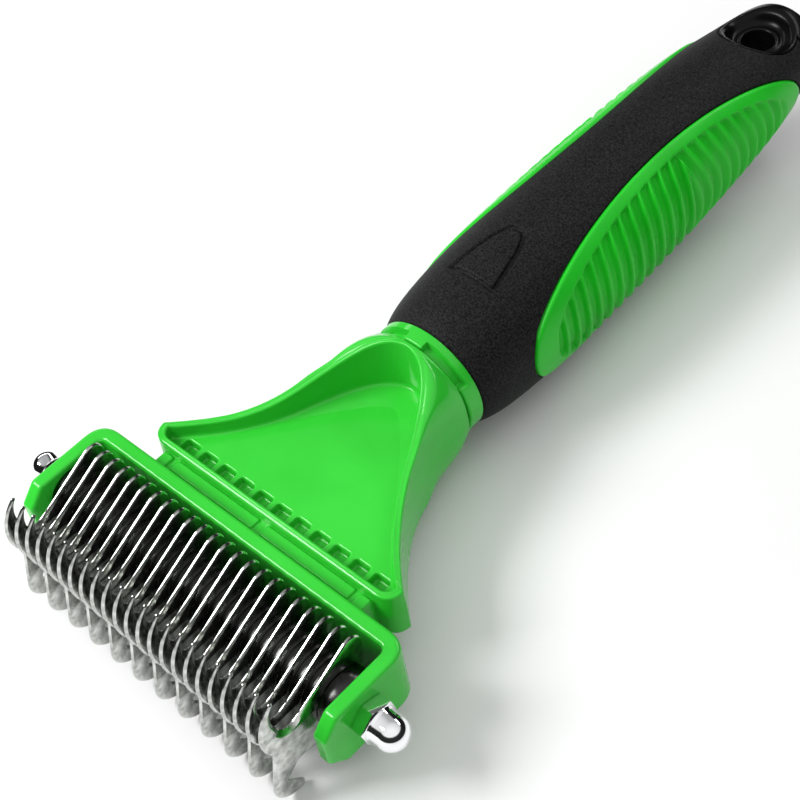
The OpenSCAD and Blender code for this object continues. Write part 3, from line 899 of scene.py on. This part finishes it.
def cap_faces(points, outer, hole):
    """Triangles of a flat cap between an outer loop and a hole, both given as indices of points."""
    loops = [[Vector((points[i][1], points[i][2], 0)) for i in loop] for loop in (outer, hole)]
    order = outer + hole
    return [tuple(order[k] for k in triangle) for triangle in tessellate_polygon(loops)]


def blade_mesh(name, lower_tooth):
    """A punched plate, ground thin along its teeth, with a hole for the axle."""
    outline, ground = blade_outline(lower_tooth)
    tangent = unit(np.roll(outline, -1, 0) - np.roll(outline, 1, 0))
    inward = np.stack([-tangent[:, 1], tangent[:, 0]], -1)
    none = np.zeros(len(outline))
    half, bevel = BLADE_T / 2, 0.22
    loops = [                                 # (x, how far inside the outline)
        (none - half, none + bevel),
        (none - half + bevel, none),
        (half - bevel - 0.42 * ground, none),
        (half - 0.02 - 0.03 * ground, 0.85 * bevel + 0.8 * ground),
        (none + half, 1.2 * bevel + 0.85 * ground),
    ]
    rings = [np.column_stack([x, outline + inward * inset[:, None]]) for x, inset in loops]
    bore = arc(0, 0, BORE_R, 0, 360, 40)[:-1]
    bores = [np.column_stack([np.full(len(bore), x), bore]) for x in (-half, half)]
    points = np.concatenate(rings + bores)
    n, m = len(outline), len(bore)
    first_bore = len(rings) * n
    faces = grid_faces(len(rings), n, True).tolist()
    faces += (grid_faces(2, m, True)[:, ::-1] + first_bore).tolist()
    for ring, hole in ((0, first_bore), (first_bore - n, first_bore + m)):
        faces += cap_faces(points, list(range(ring, ring + n)), list(range(hole, hole + m))[::-1])
    mesh = bpy.data.meshes.new(name)
    mesh.from_pydata((points * MM).tolist(), [], faces)
    bm = bmesh.new()
    bm.from_mesh(mesh)
    bmesh.ops.recalc_face_normals(bm, faces=bm.faces)
    bm.to_mesh(mesh)
    bm.free()
    shade_smooth(mesh, 28)
    mesh.materials.append(MATERIALS["blade_steel"])
    return mesh


def make_blades():
    """Double-ended and single-ended blades take turns along the axle."""
    for kind, lower_tooth, total, first in (("double", True, 12, 0), ("single", False, 11, 1)):
        mesh = blade_mesh(kind + "_blade_plate", lower_tooth)
        for i in range(total):
            number = f"{i + 1:02d}"
            where = to_frame([(2 * i + first - MIDDLE_BLADE) * PITCH, 0, 0])
            place_piece(f"{kind}_tooth_plate_{number}", mesh, f"{kind}_blade_{number}", where)


# ---------- turned pieces on the axle ----------
NUT_BASE, NUT_H = 2.6, 8.0                # height of the hexagon, and of the whole nut
NUT_FLATS, NUT_TURN = 7.0, math.radians(12)
DOME_R = 3.15


def lathe(profiles):
    """Points and faces of closed rings turned about X; each profile is a list of (x, r)."""
    points, faces, start = [], [], 0
    angle = np.linspace(0, 2 * np.pi, 96, endpoint=False)
    for profile in profiles:
        x, r = np.array(profile, float).T
        xx, _ = np.meshgrid(x, angle, indexing="ij")
        ring = np.stack([xx, np.outer(r, np.cos(angle)), np.outer(r, np.sin(angle))], -1).reshape(-1, 3)
        points.append(ring)
        faces.append(grid_faces(len(profile), len(angle), True) + start)
        start += len(ring)
    return np.concatenate(points), np.concatenate(faces)


def ring_profile(x0, x1, outer, edge):
    """Section of a spacer or bush with rounded outer edges."""
    rounded = edge * 0.3
    return [
        (x0, BORE_R), (x0, outer - edge), (x0 + rounded, outer - rounded), (x0 + edge, outer),
        (x1 - edge, outer), (x1 - rounded, outer - rounded), (x1, outer - edge), (x1, BORE_R), (x0, BORE_R),
    ]


def make_spacers():
    half_gap = (PITCH - BLADE_T) / 2
    centres = [(i + 0.5 - MIDDLE_BLADE) * PITCH for i in range(2 * MIDDLE_BLADE)]
    points, faces = lathe([ring_profile(c - half_gap, c + half_gap, 6.0, 0.18) for c in centres])
    add_piece("spacer_rings", points, faces, "blade_spacers", 35)


def make_bushes():
    for side, node in ((-1, "left_end_bush"), (1, "right_end_bush")):
        low, high = sorted((side * (MIDDLE_BLADE * PITCH + BLADE_T / 2), side * ARM_IN))
        points, faces = lathe([ring_profile(low, high, 5.5, 0.35)])
        add_piece("turned_" + node, points, faces, node, 35)


def make_axle():
    """Rod with a plain middle and a rolled thread on each end."""
    half, radius, columns = node_mm("axle")[1][0], 2.0, 64
    lead, depth = 0.7, 0.36                   # of the thread
    plain = 31                                # half length of the middle without thread
    angle = np.linspace(0, 2 * np.pi, columns, endpoint=False)
    end, middle = np.linspace(plain, half, 190), np.linspace(1 - plain, plain - 1, 5)
    x = np.concatenate([-end[::-1], middle, end])
    xx, aa = np.meshgrid(x, angle, indexing="ij")
    phase = (xx / lead - aa / (2 * np.pi)) % 1
    ridge = np.clip(1.25 - np.abs(phase - 0.5) * 3.2, 0, 1)
    threaded = step_up(np.abs(xx), plain + 0.2, plain + 1)
    point_r = 1.45 + half - np.abs(xx)        # chamfer of the rod's ends
    r = np.minimum(radius - depth * (1 - ridge) * threaded, point_r)
    points = np.stack([xx, r * np.cos(aa), r * np.sin(aa)], -1).reshape(-1, 3)
    faces = grid_faces(len(x), columns, True).tolist()
    faces.append(list(range(columns))[::-1])
    faces.append(list(range(len(points) - columns, len(points))))
    add_piece("threaded_axle", points, faces, "axle", 40)


def make_hexagon(side, name):
    """Base of a cap nut: a hexagon whose corners are chamfered at 25 degrees towards the dome."""
    angle = np.radians(np.arange(0, 360, 2.5))
    level = np.zeros(len(angle))
    hexagon = NUT_FLATS / 2 / np.cos(angle % (np.pi / 3) - np.pi / 6)
    past_flat = (hexagon - NUT_FLATS / 2) * 0.15
    chamfer_r = 3.42
    chamfer_start = NUT_BASE - (hexagon - chamfer_r).clip(0) * math.tan(math.radians(25))
    rings = [                                 # (radius, height above the arm)
        (level + BORE_R, level),
        (np.minimum(hexagon, NUT_FLATS / 2) - 0.1, level),
        (hexagon - 0.05, past_flat + 0.04),
        (hexagon, past_flat + 0.1),
        (hexagon, chamfer_start - 0.06),
        (hexagon - 0.05, chamfer_start),
        (level + chamfer_r, level + NUT_BASE - 0.02),
        (level + chamfer_r - 0.1, level + NUT_BASE),
        (level + BORE_R, level + NUT_BASE),
        (level + BORE_R, level),
    ]
    turned = angle - NUT_TURN
    points = np.concatenate([
        np.stack([side * (ARM_OUT + h), r * np.sin(turned), r * np.cos(turned)], -1) for r, h in rings])
    faces = grid_faces(len(rings), len(angle), True)[:, ::-side]
    add_piece(f"{name}_nut_hexagon", points, faces, f"{name}_nut_base", 24)


def make_dome(side, name):
    """Domed cap of a nut, with the thread's bore inside."""
    centre, bore_end = NUT_H - DOME_R, 6.0
    profile = [                               # (height above the arm, radius)
        (NUT_BASE, BORE_R), (NUT_BASE, DOME_R + 0.22), (NUT_BASE + 0.12, DOME_R + 0.2),
        (NUT_BASE + 0.3, DOME_R + 0.06), (NUT_BASE + 0.55, DOME_R),
    ]
    dome = np.linspace(0, math.pi / 2 - 0.004, 28)
    profile += [(centre + DOME_R * math.sin(t), DOME_R * math.cos(t)) for t in dome]
    profile += [(bore_end, BORE_R), (NUT_BASE, BORE_R)]
    points, faces = lathe([[(side * (ARM_OUT + h), r) for h, r in profile]])
    add_piece(f"{name}_nut_cap", points, faces[:, ::side], f"{name}_nut_dome", 40)


# ---------- build ----------
add_camera()
bpy.context.scene.view_settings.view_transform = "Standard"
add_studio()
add_floor()
make_head()
make_collar()
make_sleeve()
make_grip(-1, "left_grip")
make_grip(1, "right_grip")
make_loop()
make_bracket()
make_rail()
make_blades()
make_spacers()
make_bushes()
make_axle()
for side, name in ((-1, "left"), (1, "right")):
    make_hexagon(side, name)
    make_dome(side, name)
